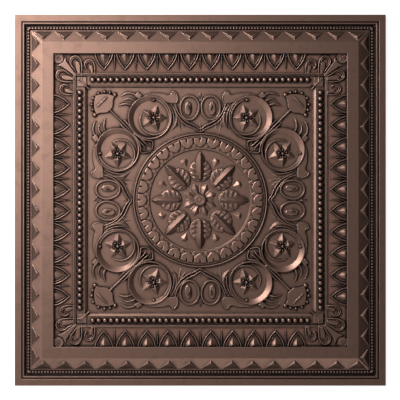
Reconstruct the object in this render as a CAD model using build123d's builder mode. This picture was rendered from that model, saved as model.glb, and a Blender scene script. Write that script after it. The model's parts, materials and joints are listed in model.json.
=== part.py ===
"""PVC drop-in ceiling tile, 24 in grid size, thermoformed from one thin sheet.

The tile lies on its back with the decorated face up, centred on Z, and the long
relief bands are parallel to X and Y. All its sides and corners are alike, so only
one eighth is drawn: from the centre line of the +Y side to the mitre at x = y.
It is then mirrored and turned into the whole sheet. Sizes are in millimetres.
"""

import os
from math import atan, cos, radians, sin

from build123d import *

os.makedirs("parts", exist_ok=True)

# Sheet
tile_side = 603.0
gauge = 0.8

# Widths of the bands, from the outer edge inwards
rim_width = 10.6
score_width = 1.6
score_land = 2.6
rim_fall = 4.4
channel_width = 5.2
lip_rise = 0.9
lip_width = 1.1
tooth_run = 18.4
frame_width = 17.2
frame_fall = 2.8
egg_band = 29.8
fillet_rise = 1.4
fillet_width = 3.4
bead_step = 0.8
bead_band = 13.6
field_fall = 5.2

# Heights of the bands above the lowest face of the front
rim_height = 4.2
score_depth = 0.9
channel_height = 0.8
lip_height = 1.8
frame_height = 8.7
egg_floor_height = 3.8
fillet_height = 5.2
bead_floor_height = 4.2

# Fine bead and large bead mouldings
cord_width = 4.4
cord_height = 1.4
pearl_width = 9.4
pearl_height = 3.0

# Teeth on the outer slope
tooth_width = 33.0
tooth_gap = 1.5
tooth_start = 0.6
tooth_apex_share = 0.48
tooth_tip_share = 0.8
tooth_proud = 3.4

# Egg and dart band
egg_pitch = 34.8
egg_width = 29.2
egg_rim = 4.0
egg_rim_height = 2.8
egg_tip_gap = 4.2
egg_rim_gap = 2.2
egg_height = 4.8
egg_apex_back = 3.6
dart_half_width = 2.9
dart_height = 2.6
corner_reach = 32.0
rosette_radius = 8.0
rosette_height = 2.4
large_volute_radius = 10.0
small_volute_radius = 8.2
volute_height = 2.6
block_width = 15.5
block_height = 1.9

# Medallion
ring_radius = 107.0
ring_half_base = 3.4
ring_half_top = 0.9
ring_height = 3.6
lobe_band_outer = 103.6
lobe_band_inner = 82.6
lobe_band_fall = 1.6
lobe_band_height = 1.7
lobe_count = 28
lobe_tip_radius = 86.4
lobe_valley_radius = 94.0
lobe_height = 1.9
acanthus_count = 8
acanthus_base_radius = 29.0
acanthus_tip_radius = 78.0
acanthus_round = 18.6
acanthus_pad = 1.7
acanthus_keel = 5.2
acanthus_keel_half_width = 8.4
bud_inner_radius = 55.0
bud_outer_radius = 71.0
bud_half_width = 5.2
bud_height = 2.4
petal_half_width = 4.2
petal_height = 2.6
petal_inner_radius = 9.0
petal_outer_radius = 26.5
boss_radius = 10.8
boss_height = 4.8

# Scrollwork in the field: drawn on a field of this half width
art_half_width = 182.5
vine_radius = 34.6
vine_width = 7.2
vine_height = 2.6
scroll_radius = 17.0
scroll_width = 4.4
fan_height = 2.1
stud_height = 2.6
stem_half_width = 3.0
stem_height = 2.6
trumpet_height = 3.2
star_height = 4.2
star_radius = 21.5
star_half_width = 7.2

# Draft of the raised pads, and how far each stands in the sheet below it
draft = 28.0
sink = 0.5

half = tile_side / 2
field_z = gauge


def inset(distance):
    """Distance from the centre of a line that runs this far inside the tile's edge."""
    return half - distance


def level(height):
    """A horizontal workplane this far above the field."""
    return Plane.XY.offset(field_z + height)


def spoke(angle, height):
    """A level workplane turned clockwise about the centre, so its Y points outwards."""
    turn = radians(angle)
    return Plane(
        origin=(0, 0, field_z + height), x_dir=(cos(turn), -sin(turn), 0), z_dir=(0, 0, 1)
    )


def faceted(loops):
    """A solid closed by flat faces, each given as a loop of points."""
    return Solid(Shell([Face(Wire.make_polygon(loop, close=True)) for loop in loops]))


def peak(seat, outline, top, height):
    """A pyramid on a straight-sided outline, with its point above the spot named top."""
    foot = [seat.from_local_coords(Vector(x, y, -sink)) for x, y in outline]
    apex = seat.from_local_coords(Vector(top[0], top[1], height))
    sides = [[foot[i - 1], foot[i], apex] for i in range(len(foot))]
    return faceted([foot] + sides)


def leaf(seat, start, end, stations, height):
    """A keeled leaf between two points, from (share of length, half width) and its height."""
    rise = (height + sink) / max(half_width for share, half_width in stations)
    run = Vector(*end) - Vector(*start)
    across = Vector(-run.Y, run.X).normalized()
    tips = [seat.from_local_coords(Vector(point[0], point[1], -sink)) for point in (start, end)]
    left, right, keel = [tips[0]], [tips[0]], [tips[0]]
    for share, half_width in stations:
        middle = Vector(*start) + run * share
        for row, way in ((left, 1), (right, -1)):
            corner = middle + across * half_width * way
            row.append(seat.from_local_coords(Vector(corner.X, corner.Y, -sink)))
        keel.append(seat.from_local_coords(Vector(middle.X, middle.Y, rise * half_width - sink)))
    for row in (left, right, keel):
        row.append(tips[1])
    loops = [left + right[-2:0:-1]]
    last = len(keel) - 2
    for row in (left, right):
        for i in range(last + 1):
            loop = [row[i], row[i + 1], keel[i + 1], keel[i]]
            if i == 0:
                loop = [row[0], row[1], keel[1]]
            elif i == last:
                loop = [row[i], row[i + 1], keel[i]]
            loops.append(loop)
    return faceted(loops)


def pad(sketch, height):
    """Flat-topped pads with drafted sides on every face of a sketch."""
    return extrude(sketch, amount=height + sink, taper=draft)


def ring_of(centre, radius, sides):
    """The corners of a regular polygon, for a round thing with few facets."""
    return [
        (
            centre[0] + radius * cos(radians(360 / sides * (corner + 0.5))),
            centre[1] + radius * sin(radians(360 / sides * (corner + 0.5))),
        )
        for corner in range(sides)
    ]


def drop_shape(head, head_radius, tail, tail_radius, sides):
    """The corners of the drop-shaped outline round a large head and a small tail."""
    with BuildSketch() as drop:
        with BuildLine():
            Polyline(*ring_of(head, head_radius, sides), close=True)
            Polyline(*ring_of(tail, tail_radius, 6), close=True)
        make_hull()
    outline = drop.sketch.faces()[0].outer_wire().order_edges()
    corners = [((edge @ 0).X, (edge @ 0).Y) for edge in outline]
    turns = [a[0] * b[1] - b[0] * a[1] for a, b in zip(corners, corners[1:] + corners[:1])]
    return corners if sum(turns) > 0 else corners[::-1]


def plate(seat, outline):
    """A straight-sided face, as deep in the sheet as a pad starts."""
    with BuildSketch(seat.offset(-sink)) as face:
        with BuildLine():
            Polyline(*outline, close=True)
        make_face()
    return face.sketch


def disc_shape(seat, centre, radius, sides):
    """A many-sided disc."""
    return plate(seat, ring_of(centre, radius, sides))


# Where each band starts, measured inwards from the edge
score_at = rim_width
score_end = score_at + score_width
fall_at = score_end + score_land
channel_at = fall_at + rim_fall
lip_at = channel_at + channel_width
lip_top = lip_at + lip_rise
teeth_at = lip_top + lip_width
frame_at = teeth_at + tooth_run
frame_end = frame_at + frame_width
egg_at = frame_end + frame_fall
fillet_at = egg_at + egg_band
fillet_top = fillet_at + fillet_rise
fillet_end = fillet_top + fillet_width
pearl_at = fillet_end + bead_step
pearl_end = pearl_at + bead_band
field_at = pearl_end + field_fall
art = inset(field_at) / art_half_width

# Section through one side of the tile, as distance inwards and height
section = [
    (-20, rim_height),
    (score_at, rim_height),
    (score_at + score_width / 2, rim_height - score_depth),
    (score_end, rim_height),
    (fall_at, rim_height),
    (channel_at, channel_height),
    (lip_at, channel_height),
    (lip_top, lip_height),
    (teeth_at, lip_height),
    (frame_at, frame_height),
    (frame_end, frame_height),
    (egg_at, egg_floor_height),
    (fillet_at, egg_floor_height),
    (fillet_top, fillet_height),
    (fillet_end, fillet_height),
    (pearl_at, bead_floor_height),
    (pearl_end, bead_floor_height),
    (field_at, 0),
    (half + 20, 0),
]

# Broad forms are hollow on the back. Narrow ones, too fine for the sheet to follow, aren't.
broad = []
narrow = []

# Teeth: one three-sided pyramid after another on the sloping band
slope = atan((frame_height - lip_height) / tooth_run)
slope_length = tooth_run / cos(slope)
tooth_seat = Plane(
    origin=(0, inset(teeth_at), field_z + lip_height),
    x_dir=(1, 0, 0),
    z_dir=(0, sin(slope), cos(slope)),
)
teeth_per_half = int((inset(teeth_at) - tooth_gap) / (tooth_width + tooth_gap))
tooth_pitch = (inset(teeth_at) - tooth_gap) / teeth_per_half
for number in range(teeth_per_half):
    middle = (number + 0.5) * tooth_pitch
    outline = [
        (middle - tooth_width / 2, -tooth_start),
        (middle, -tooth_tip_share * slope_length),
        (middle + tooth_width / 2, -tooth_start),
    ]
    top = (middle, -tooth_apex_share * slope_length)
    broad.append(peak(tooth_seat, outline, top, tooth_proud))

# Eggs in their pointed rims, and the darts between them
egg_seat = level(egg_floor_height)
egg_top = inset(frame_end + frame_fall * 0.6)
egg_tip = inset(fillet_at - egg_tip_gap)
eggs_per_half = int((inset(fillet_at) - corner_reach) / egg_pitch)
for number in range(eggs_per_half):
    middle = (number + 0.5) * egg_pitch
    for way in (-1, 1):
        shoulder = (middle + way * (egg_width / 2 - egg_rim / 2), egg_top + 4)
        foot = (middle - way * egg_rim * 0.2, egg_tip)
        band = [(0.1, egg_rim / 2), (0.9, egg_rim / 2)]
        narrow.append(leaf(egg_seat, shoulder, foot, band, egg_rim_height))
    core = egg_width / 2 - egg_rim - egg_rim_gap
    yolk = [(middle - core, egg_top), (middle, egg_tip + egg_rim * 2.4), (middle + core, egg_top)]
    broad.append(peak(egg_seat, yolk, (middle, egg_top - egg_apex_back), egg_height))
for number in range(eggs_per_half + 1):
    middle = number * egg_pitch
    dart_end = (middle, inset(fillet_at) + 0.5)
    dart = [(0.45, dart_half_width)]
    narrow.append(leaf(egg_seat, (middle, egg_top - 2), dart_end, dart, dart_height))

# Corner of the egg band: a rosette, a flared stem and two pairs of volutes
nook = inset(egg_at)
inner = inset(fillet_at)
rosette = (nook - rosette_radius * 0.7, nook - rosette_radius * 0.7)
narrow.append(peak(egg_seat, ring_of(rosette, rosette_radius, 10), rosette, rosette_height))
narrow.append(
    leaf(
        egg_seat,
        (nook - rosette_radius, nook - rosette_radius),
        (inner + 0.5, inner + 0.5),
        [(0.12, 6.0), (0.6, 2.8)],
        volute_height,
    )
)
for head, radius, tail in (
    (
        (inner - 4.0, nook - large_volute_radius - 3.0),
        large_volute_radius,
        (inner - 8.5, inner + 2.5),
    ),
    (
        (inner - 28.2, nook - small_volute_radius - 9.4),
        small_volute_radius,
        (inner - 30.0, inner + 2.5),
    ),
):
    outline = drop_shape(head, radius, tail, 2.0, 10)
    narrow.append(peak(egg_seat, outline, head, volute_height))

# Square block where the bead rows meet
block = inset((fillet_top + pearl_end) / 2)
with BuildSketch(level(bead_floor_height).offset(-sink)) as square:
    with Locations((block, block)):
        Rectangle(block_width, block_width)
narrow.append(pad(square.sketch, block_height))

# Medallion: lobed band, acanthus leaves, buds and the centre flower
lobe_reach = radians(180 / lobe_count)
lobe_root = lobe_band_outer - 1
lobe_side = (lobe_valley_radius * sin(lobe_reach) * 0.98, lobe_valley_radius * cos(lobe_reach))
lobe = [
    (-lobe_root * sin(lobe_reach), lobe_root * cos(lobe_reach)),
    (-lobe_side[0], lobe_side[1]),
    (0, lobe_tip_radius),
    lobe_side,
    (lobe_root * sin(lobe_reach), lobe_root * cos(lobe_reach)),
]
for number in range(lobe_count // 8 + 2):
    lobe_seat = spoke(number * 360 / lobe_count, lobe_band_height)
    narrow.append(peak(lobe_seat, lobe, (0, lobe_valley_radius - 2), lobe_height))
for number in range(2):
    seat = spoke(number * 360 / acanthus_count, 0)
    middle = (0, acanthus_base_radius + acanthus_round)
    frond = drop_shape(middle, acanthus_round, (0, acanthus_tip_radius - 4.5), 4.0, 12)
    broad.append(pad(plate(seat, frond), acanthus_pad))
    narrow.append(
        leaf(
            seat,
            (0, acanthus_base_radius + 2),
            (0, acanthus_tip_radius),
            [(0.25, acanthus_keel_half_width), (0.8, acanthus_keel_half_width)],
            acanthus_keel,
        )
    )
seat = spoke(180 / acanthus_count, 0)
bud = [
    (0, bud_inner_radius),
    (-bud_half_width, bud_outer_radius),
    (bud_half_width, bud_outer_radius),
]
narrow.append(peak(seat, bud, (0, bud_outer_radius - 3), bud_height))
narrow.append(
    leaf(
        seat,
        (0, petal_inner_radius),
        (0, petal_outer_radius),
        [(0.6, petal_half_width)],
        petal_height,
    )
)


def spot(x, y):
    """A point of the scrollwork, fitted to the field."""
    return (x * art, y * art)


field = level(0)

# Corner fan with its studded edge, its stem and the trumpet by the medallion
with BuildSketch(field.offset(-sink)) as fan:
    with BuildLine():
        Polyline(
            spot(171.0, 139.5),
            spot(176.5, 158.0),
            spot(174.0, 174.0),
            spot(158.0, 176.5),
            spot(139.5, 171.0),
            spot(143.0, 163.0),
            spot(143.0, 150.0),
            spot(150.0, 143.0),
            spot(163.0, 143.0),
            close=True,
        )
    make_face()
broad.append(pad(fan.sketch, fan_height))
narrow.append(
    leaf(
        level(fan_height),
        spot(149.5, 169.0),
        spot(169.0, 149.5),
        [(0.12, 2.0), (0.88, 2.0)],
        stem_height * 0.6,
    )
)
stem = [(0.05, stem_half_width), (0.95, stem_half_width)]
narrow.append(leaf(field, spot(152.0, 152.0), spot(104.0, 104.0), stem, stem_height))
for x, y, radius in (
    (140.5, 170.5, 4.6),
    (148.0, 175.6, 3.4),
    (156.5, 177.6, 3.4),
    (165.8, 175.4, 3.4),
):
    stud = ring_of(spot(x, y), radius * art, 5)
    narrow.append(peak(field, stud, spot(x, y), stud_height))
trumpet = [spot(107.0, 107.0), spot(77.0, 98.0), spot(80.0, 80.0), spot(98.0, 77.0)]
narrow.append(peak(field, trumpet, spot(86.0, 86.0), trumpet_height))

# The round vine: a crescent and its star flower
vine_centre = spot(82.0, 135.0)
crescent = disc_shape(field, vine_centre, vine_radius * art, 18)
hollow = disc_shape(field, spot(78.6, 132.4), (vine_radius - vine_width) * art, 15)
broad.append(pad(crescent - hollow, vine_height))
star_centre = spot(75.6, 134.6)
for number in range(5):
    turn = radians(107 + 72 * number)
    reach = star_radius * art
    tip = (star_centre[0] + reach * cos(turn), star_centre[1] + reach * sin(turn))
    petal = [(0.55, star_half_width * art)]
    narrow.append(leaf(field, star_centre, tip, petal, star_height))
hub = ring_of(star_centre, 4.6 * art, 6)
narrow.append(peak(field, hub, star_centre, star_height * 1.25))

# Leaf tuft, ribbon, ogee bracket and thorn beside the vine
for start, end, half_width, height in (
    (spot(131.0, 170.0), spot(104.0, 171.5), 3.6, 2.4),
    (spot(126.0, 163.5), spot(104.0, 161.5), 3.0, 2.2),
    (spot(134.5, 153.5), spot(111.5, 158.0), 3.6, 2.2),
    (spot(108.0, 177.0), spot(62.0, 172.0), 4.6, 2.6),
    (spot(66.0, 172.5), spot(36.0, 164.0), 6.0, 3.0),
    (spot(47.0, 177.5), spot(38.0, 157.0), 4.0, 3.0),
    (spot(56.0, 160.0), spot(44.0, 112.0), 5.0, 3.0),
    (spot(43.0, 160.0), spot(30.0, 130.0), 3.0, 2.4),
    (spot(33.0, 134.5), spot(-2.0, 113.0), 3.0, 2.4),
):
    width = half_width * art
    narrow.append(leaf(field, start, end, [(0.45, width)], height))

# Volute pair and bud on the centre line
scroll = disc_shape(field, spot(17.1, 150.0), scroll_radius * art, 12)
scroll_eye = disc_shape(field, spot(17.1, 151.5), (scroll_radius - scroll_width) * art, 10)
broad.append(pad(scroll - scroll_eye, vine_height))
narrow.append(leaf(field, spot(16.0, 158.0), spot(20.0, 143.0), [(0.5, 3.4 * art)], 2.4))
narrow.append(leaf(field, spot(0, 176.0), spot(0, 160.0), [(0.4, 4.2 * art)], 2.8))
narrow.append(leaf(field, spot(0, 132.0), spot(0, 122.0), [(0.5, 3.2 * art)], 1.8))

# The two bead rows, as plain mouldings with three flats each
with BuildPart() as rows:
    with BuildSketch(Plane.YZ.offset(-30)) as bars:
        for distance, base, width, height in (
            ((channel_at + lip_at) / 2, channel_height, cord_width, cord_height),
            ((pearl_at + pearl_end) / 2, bead_floor_height, pearl_width, pearl_height),
        ):
            with BuildLine():
                Polyline(
                    (inset(distance) - width / 2, field_z + base - sink),
                    (inset(distance) + width / 2, field_z + base - sink),
                    (inset(distance) + width / 4, field_z + base + height),
                    (inset(distance) - width / 4, field_z + base + height),
                    close=True,
                )
            make_face()
    extrude(amount=half + 60)

# The forming mould's broad shape, past the eighth on every side
with BuildPart() as mould:
    with BuildSketch(Plane.YZ.offset(-30)) as side:
        with BuildLine():
            Polyline(
                (-20, -30),
                *[(inset(distance), field_z + height) for distance, height in reversed(section)],
                (half + 20, -30),
                close=True,
            )
        make_face()
    extrude(amount=half + 60)
    with BuildSketch(Plane.XZ) as turned:
        with BuildLine():
            Polyline(
                (lobe_band_inner - lobe_band_fall, field_z - 5),
                (lobe_band_inner - lobe_band_fall, field_z),
                (lobe_band_inner, field_z + lobe_band_height),
                (lobe_band_outer - 1, field_z + lobe_band_height),
                (ring_radius - ring_half_top, field_z + ring_height),
                (ring_radius + ring_half_top, field_z + ring_height),
                (ring_radius + ring_half_base, field_z),
                (ring_radius + ring_half_base, field_z - 5),
                close=True,
            )
        make_face()
    revolve(axis=Axis.Z)
    with BuildSketch(Plane.XZ) as knob:
        with BuildLine():
            Polyline(
                (0, field_z - 5),
                (boss_radius, field_z - 5),
                (boss_radius, field_z),
                (boss_radius * 0.85, field_z + boss_height * 0.65),
                (boss_radius * 0.4, field_z + boss_height),
                (0, field_z + boss_height),
                close=True,
            )
        make_face()
    revolve(axis=Axis.Z)
    add(broad)
    add(rows.part)

# One eighth of the sheet: the mould's skin, one gauge deep, with the narrow forms on it
with BuildPart() as eighth:
    with BuildSketch(Plane.XY.offset(-20)):
        with BuildLine():
            Polyline((0, 0), (0, half), (half, half), close=True)
        make_face()
    extrude(amount=60)
    add(mould.part.fuse(*narrow), mode=Mode.INTERSECT)
    add(mould.part.moved(Location((0, 0, -gauge))), mode=Mode.SUBTRACT)

with BuildPart() as quarter:
    add(eighth.part)
    mirror(about=Plane(origin=(0, 0, 0), z_dir=(1, -1, 0)))

with BuildPart() as ceiling_tile:
    with PolarLocations(0, 4):
        add(quarter.part)

ceiling_tile.part.label = "ceiling_tile"
export_step(ceiling_tile.part, "parts/ceiling_tile.step")
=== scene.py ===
"""Looks for the thermoformed PVC ceiling tile in antique copper.

One eighth of the tile's front is modelled, from the centre line of the +Y side to the mitre
at x = y. The raised forms are united with the stepped sheet, the eighth is mirrored and
turned into the whole front, and the front gets a back one gauge below it.
Sizes are in metres. Drawings are on a squared grid of GRID metres.
"""

import json
from math import atan, cos, pi, radians, sin

import bpy
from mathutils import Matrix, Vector

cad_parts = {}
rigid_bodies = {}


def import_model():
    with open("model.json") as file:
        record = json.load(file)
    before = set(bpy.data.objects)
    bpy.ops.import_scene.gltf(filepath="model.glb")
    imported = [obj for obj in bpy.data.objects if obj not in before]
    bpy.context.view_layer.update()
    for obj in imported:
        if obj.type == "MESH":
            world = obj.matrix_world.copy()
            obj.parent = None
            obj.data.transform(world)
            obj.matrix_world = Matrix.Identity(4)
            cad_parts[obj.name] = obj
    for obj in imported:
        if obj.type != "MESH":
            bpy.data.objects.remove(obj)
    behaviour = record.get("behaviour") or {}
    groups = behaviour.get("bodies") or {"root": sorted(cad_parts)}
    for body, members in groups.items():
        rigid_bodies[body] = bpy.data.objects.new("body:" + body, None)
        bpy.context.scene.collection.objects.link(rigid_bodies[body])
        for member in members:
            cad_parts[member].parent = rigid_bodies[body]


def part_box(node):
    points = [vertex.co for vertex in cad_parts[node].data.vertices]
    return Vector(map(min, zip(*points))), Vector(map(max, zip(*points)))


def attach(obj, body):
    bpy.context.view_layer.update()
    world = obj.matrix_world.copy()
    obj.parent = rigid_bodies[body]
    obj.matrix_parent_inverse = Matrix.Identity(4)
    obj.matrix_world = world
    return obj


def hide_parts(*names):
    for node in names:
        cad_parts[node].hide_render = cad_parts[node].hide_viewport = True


bl_info = {
    "name": "Pressed Ceiling Tile",
    "version": (1, 0, 0),
    "blender": (4, 5, 0),
    "location": "View3D > Sidebar > Ceiling Tile",
    "description": "Builds a thermoformed ceiling tile with pressed relief and a copper finish",
    "category": "Add Mesh",
}

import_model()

# One square of the drawings, then how deep the foot of a raised form and of a pointed one
# stands in the face under it, and how near two places are that count as one.
GRID = 0.001625
SINK = 0.0008
TOE = 0.0002
SEAM = 2e-5

# Folds sharper than these stay sharp, on a ridge and on the sheet.
RIDGE_FOLD = radians(24)
SHEET_FOLD = radians(36)

TILE_LOW, TILE_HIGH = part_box("ceiling_tile")
TILE_SIDE = TILE_HIGH[0] - TILE_LOW[0]


class SheetSizes(bpy.types.PropertyGroup):
    """Sizes of the formed sheet."""

    side: bpy.props.FloatProperty(
        name="Side", description="Length of each side", default=TILE_SIDE, unit="LENGTH"
    )
    gauge: bpy.props.FloatProperty(
        name="Gauge", description="Thickness of the sheet", default=0.0008, unit="LENGTH"
    )
    rim_height: bpy.props.FloatProperty(
        name="Rim height", description="Rim above the field", default=0.0042, unit="LENGTH"
    )
    frame_height: bpy.props.FloatProperty(
        name="Frame height", description="Flat frame above the field", default=0.0086, unit="LENGTH"
    )
    band_height: bpy.props.FloatProperty(
        name="Band height", description="Egg band above the field", default=0.0038, unit="LENGTH"
    )


class BorderSizes(bpy.types.PropertyGroup):
    """Sizes of the repeated forms round the border."""

    fine_bead: bpy.props.FloatProperty(
        name="Fine bead", description="Radius of a fine bead", default=0.0019, unit="LENGTH"
    )
    fine_pitch: bpy.props.FloatProperty(
        name="Fine pitch", description="Spacing of the fine beads", default=0.00495, unit="LENGTH"
    )
    large_bead: bpy.props.FloatProperty(
        name="Large bead", description="Radius of a large bead", default=0.00495, unit="LENGTH"
    )
    large_pitch: bpy.props.FloatProperty(
        name="Large pitch", description="Spacing of the large beads", default=0.00998, unit="LENGTH"
    )
    tooth_rise: bpy.props.FloatProperty(
        name="Tooth rise", description="Height of a tooth on its slope", default=0.0029, unit="LENGTH"
    )
    tooth_pitch: bpy.props.FloatProperty(
        name="Tooth pitch", description="Spacing of the teeth", default=0.03404, unit="LENGTH"
    )
    egg_pitch: bpy.props.FloatProperty(
        name="Egg pitch", description="Spacing of the eggs", default=0.0348, unit="LENGTH"
    )
    egg_rise: bpy.props.FloatProperty(
        name="Egg rise", description="Height of an egg above its band", default=0.0034, unit="LENGTH"
    )


class FieldSizes(bpy.types.PropertyGroup):
    """Sizes of the scrollwork and the medallion."""

    vine_rise: bpy.props.FloatProperty(
        name="Vine rise", description="Height of the vines", default=0.0040, unit="LENGTH"
    )
    star_rise: bpy.props.FloatProperty(
        name="Star rise", description="Height of the star flowers", default=0.0042, unit="LENGTH"
    )
    ring_radius: bpy.props.FloatProperty(
        name="Ring radius", description="Radius of the medallion's ring", default=0.1080, unit="LENGTH"
    )
    ring_rise: bpy.props.FloatProperty(
        name="Ring rise", description="Height of the medallion's ring", default=0.0034, unit="LENGTH"
    )
    lobes: bpy.props.IntProperty(
        name="Lobes", description="Lobes round the medallion, a multiple of four", default=28
    )
    leaf_rise: bpy.props.FloatProperty(
        name="Leaf rise", description="Height of the leaf keels", default=0.0066, unit="LENGTH"
    )


class FinishColours(bpy.types.PropertyGroup):
    """Colours of the antique copper finish."""

    copper: bpy.props.FloatVectorProperty(
        name="Copper",
        description="Rubbed metal on the high parts",
        subtype="COLOR",
        default=(0.64, 0.375, 0.287),
    )
    # Crest: rubbed metal on the edges, and also a painted highlight along them.
    crest: bpy.props.FloatVectorProperty(
        name="Crest",
        description="Metal on the edges that hands and cloths rub most",
        subtype="COLOR",
        default=(0.92, 0.60, 0.49),
    )
    # Patina: the dark finish of the low parts, and also the colour of the painted shade in nooks, valleys
    # and on steep sides.
    patina: bpy.props.FloatVectorProperty(
        name="Patina",
        description="Dark finish left in the low parts",
        subtype="COLOR",
        default=(0.022, 0.018, 0.020),
    )
    roughness: bpy.props.FloatProperty(
        name="Roughness", description="Roughness of the metal", default=0.40, min=0, max=1
    )


class StageLights(bpy.types.PropertyGroup):
    """Strengths of the studio lights."""

    over: bpy.props.FloatProperty(
        name="Over", description="Power of the panel over the upper left", default=0.74, unit="POWER"
    )
    corner: bpy.props.FloatProperty(
        name="Corner", description="Power of the panel past the corner", default=10.0, unit="POWER"
    )
    left: bpy.props.FloatProperty(
        name="Left", description="Power of the panels on the left", default=1.25, unit="POWER"
    )
    front: bpy.props.FloatProperty(
        name="Front", description="Power of the panel in front", default=1.1, unit="POWER"
    )
    high: bpy.props.FloatProperty(
        name="High", description="Power of the broad panel high above", default=0.5, unit="POWER"
    )
    surround: bpy.props.FloatProperty(
        name="Surround", description="Brightness of the studio walls", default=0.004
    )
    floor: bpy.props.FloatProperty(
        name="Floor", description="Brightness of the lit floor", default=0.9
    )


def sizes(group):
    """A group of the user's sizes."""
    return getattr(bpy.context.scene, group)


def start():
    """Leaves edit mode with nothing selected."""
    if bpy.context.object and bpy.context.object.mode != "OBJECT":
        bpy.ops.object.mode_set(mode="OBJECT")
    bpy.ops.object.select_all(action="DESELECT")


def edit_all():
    """Edit mode on the active piece, with all of it selected."""
    bpy.ops.object.mode_set(mode="EDIT")
    bpy.ops.mesh.select_mode(type="VERT")
    bpy.ops.mesh.select_all(action="SELECT")


def outward():
    """Turns the selected faces outwards and leaves edit mode."""
    bpy.ops.mesh.normals_make_consistent(inside=False)
    bpy.ops.object.mode_set(mode="OBJECT")


def cleared(kind):
    """Object mode, with no face or edge of the active piece selected."""
    edit_all()
    bpy.ops.mesh.select_mode(type=kind)
    bpy.ops.mesh.select_all(action="DESELECT")
    bpy.ops.object.mode_set(mode="OBJECT")


def alone(piece):
    """Makes a piece the active one, with no other selected."""
    start()
    piece.select_set(True)
    bpy.context.view_layer.objects.active = piece


def joined(pieces):
    """Pieces joined into the first of them."""
    start()
    for piece in pieces:
        piece.select_set(True)
    bpy.context.view_layer.objects.active = pieces[0]
    bpy.ops.object.join()
    return pieces[0]


def drawn(name, points):
    """A flat face whose corners are moved to the points of an outline, taken anticlockwise."""
    turn = sum(a[0] * b[1] - b[0] * a[1] for a, b in zip(points, points[1:] + points[:1]))
    if turn < 0:
        points = points[::-1]
    start()
    bpy.ops.mesh.primitive_circle_add(vertices=len(points), radius=0.01, fill_type="NGON")
    piece = bpy.context.object
    piece.name = name
    for vertex, point in zip(piece.data.vertices, points):
        vertex.co = point
    return piece


def raised(name, points, base, run, rise, crown_run=0.0, crown_rise=0.0):
    """A pad with sloping sides on an outline, with a second slope round its top."""
    piece = drawn(name, [(x, y, base - SINK) for x, y in points])
    edit_all()
    bpy.ops.mesh.extrude_region_move(TRANSFORM_OT_translate={"value": (0, 0, SINK)})
    bpy.ops.mesh.inset(thickness=run, depth=rise)
    if crown_run:
        bpy.ops.mesh.inset(thickness=crown_run, depth=crown_rise)
    bpy.ops.object.mode_set(mode="OBJECT")
    return piece


def pointed(name, foot, tip):
    """A pyramid: its foot is drawn, extruded and gathered in one point."""
    piece = drawn(name, foot)
    edit_all()
    bpy.ops.mesh.extrude_region_move(TRANSFORM_OT_translate={"value": (0, 0, SINK)})
    bpy.ops.mesh.merge(type="CENTER")
    bpy.ops.object.mode_set(mode="OBJECT")
    gathered = [vertex for vertex in piece.data.vertices if vertex.select]
    gathered[0].co = tip
    return piece


def ridge(name, stations, base, rise, sides=1, steps=4, cyclic=False, straight=False):
    """A ridge along a drawn line: each station is a place on the grid and a half width.

    With no sides it has a sharp keel, and with one or more a rounded back.
    """
    start()
    bpy.ops.curve.primitive_bezier_curve_add()
    piece = bpy.context.object
    piece.name = name
    spline = piece.data.splines[0]
    spline.bezier_points.add(len(stations) - 2)
    for point, (x, y, width) in zip(spline.bezier_points, stations):
        point.co = (x * GRID, y * GRID, 0)
        point.radius = width
        kind = "VECTOR" if straight else "AUTO"
        point.handle_left_type = kind
        point.handle_right_type = kind
    spline.use_cyclic_u = cyclic
    piece.data.twist_mode = "Z_UP"
    piece.data.bevel_depth = GRID
    piece.data.bevel_resolution = sides
    piece.data.resolution_u = steps
    piece.data.use_fill_caps = True
    bpy.ops.object.convert(target="MESH")
    piece = bpy.context.object
    edit_all()
    bpy.ops.mesh.remove_doubles(threshold=1e-6)
    outward()
    for vertex in piece.data.vertices:
        vertex.co.z = base + vertex.co.z * rise
    if sides:
        bpy.ops.object.shade_smooth()
    else:
        bpy.ops.object.shade_smooth_by_angle(angle=RIDGE_FOLD)
    return piece


def dome(name, x, y, base, radius, rise, segments=8, rings=6):
    """A bead pressed in the sheet: a squashed ball with its lower part in the sheet."""
    start()
    bpy.ops.mesh.primitive_uv_sphere_add(
        segments=segments, ring_count=rings, radius=radius, location=(x, y, base)
    )
    piece = bpy.context.object
    piece.name = name
    piece.scale.z = rise / radius
    bpy.ops.object.transform_apply(location=True, rotation=False, scale=True)
    bpy.ops.object.shade_smooth()
    return piece


def repeated(piece, step, count):
    """Copies of a piece in a row along X."""
    array = piece.modifiers.new("Row", "ARRAY")
    array.use_relative_offset = False
    array.use_constant_offset = True
    array.constant_offset_displace = (step, 0, 0)
    array.count = count
    bpy.ops.object.modifier_apply(modifier=array.name)


def turned(piece, angle):
    """A piece turned clockwise about the tile's centre."""
    alone(piece)
    piece.rotation_euler.z = -angle
    bpy.ops.object.transform_apply(location=False, rotation=True, scale=False)
    return piece


def turned_copy(piece, name, angle):
    """A copy of a piece with its own mesh, turned clockwise about the tile's centre."""
    alone(piece)
    bpy.ops.object.duplicate()
    copy = bpy.context.object
    copy.name = name
    return turned(copy, angle)


def on_circle(centre, radius, angles):
    """Places on a circle, on the grid, at angles in degrees."""
    return [
        (centre[0] + radius * cos(radians(a)), centre[1] + radius * sin(radians(a))) for a in angles
    ]


def grid(points):
    """Places on the grid, in metres."""
    return [(x * GRID, y * GRID) for x, y in points]


def over_mitre(stations):
    """Places on the grid, or stations, on the other side of the mitre."""
    return [(y, x, *width) for x, y, *width in stations]


def dots(name, places, base, radius, rise, segments=8):
    """Small domes at places on the grid, numbered."""
    for number, (x, y) in enumerate(places):
        dome(f"{name}_{number}", x * GRID, y * GRID, base, radius, rise, segments=segments)


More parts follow.
